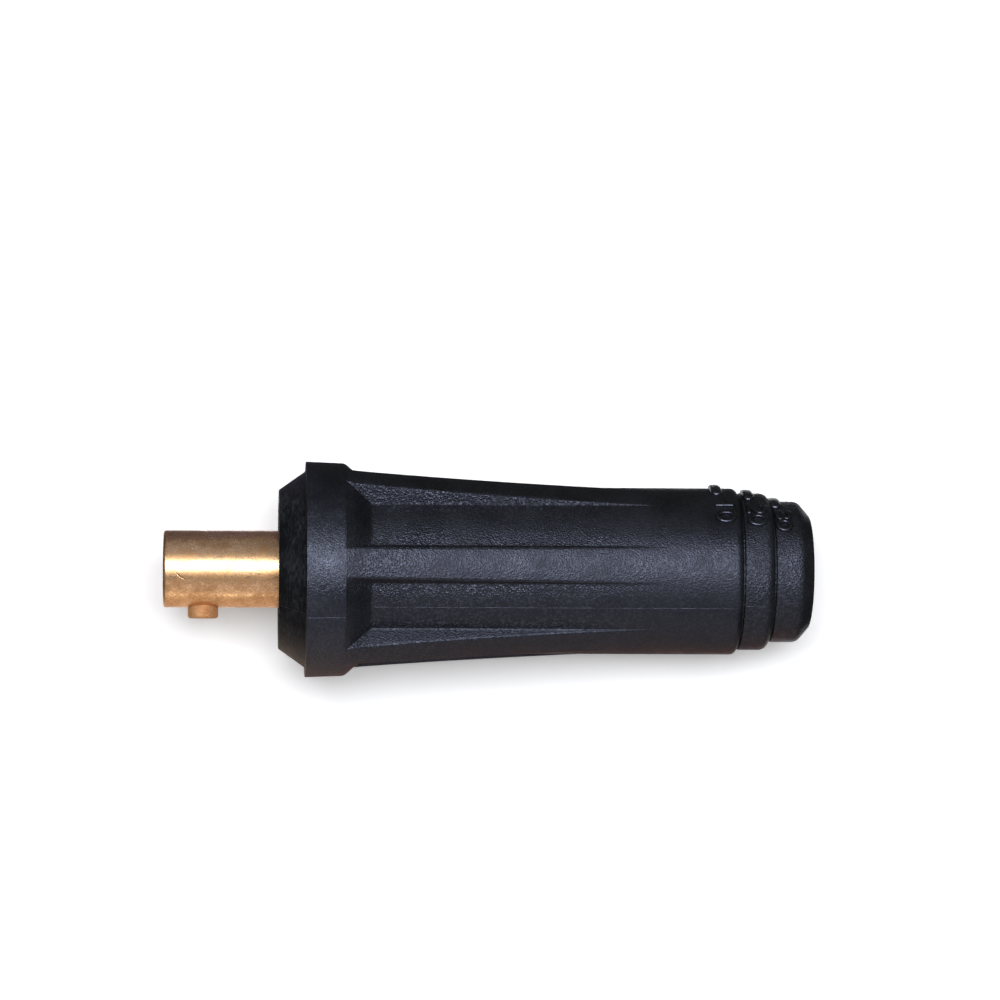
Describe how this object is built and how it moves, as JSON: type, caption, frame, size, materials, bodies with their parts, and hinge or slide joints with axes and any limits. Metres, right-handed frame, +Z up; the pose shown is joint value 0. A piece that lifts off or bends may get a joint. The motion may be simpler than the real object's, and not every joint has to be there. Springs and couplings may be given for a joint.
{
  "type": "welding cable plug",
  "caption": "Male welding cable plug: a brass bayonet pin with a cable clamp in a ribbed black rubber sleeve whose stepped tail suits different cables.",
  "frame": {"origin": "middle of the plug's bounding box, on the surface that it lies on", "axes": "+Z up; +X along the length, from the pin towards the tail; the bayonet key points to -Y and the clamp screws to +Z; the plug's own axis falls by about 3.4 degrees towards the tail"},
  "size_m": [0.1096, 0.0362, 0.0364],
  "materials": {
    "rubber": "matte moulded",
    "brass": "turned",
    "key_brass": "turned",
    "copper": "rolled copper strip",
    "screw_steel": "black oxide"
  },
  "bodies": {
    "sleeve": {"rubber_sleeve": "rubber"},
    "contact": {"contact_plug": "brass", "bayonet_key": "key_brass", "clamp_liner": "copper"},
    "front_screw": {"clamp_screw_front": "screw_steel"},
    "rear_screw": {"clamp_screw_rear": "screw_steel"}
  },
  "joints": [
    {"name": "contact_slide", "type": "slide", "parent": "sleeve", "child": "contact", "axis": [-0.9983, 0, 0.0591], "range_m": [0, 0.04]},
    {"name": "front_screw_feed", "type": "slide", "parent": "contact", "child": "front_screw", "axis": [-0.0591, 0, -0.9983], "range_m": [0, 0.0026]},
    {"name": "rear_screw_feed", "type": "slide", "parent": "contact", "child": "rear_screw", "axis": [-0.0591, 0, -0.9983], "range_m": [0, 0.0026]}
  ]
}
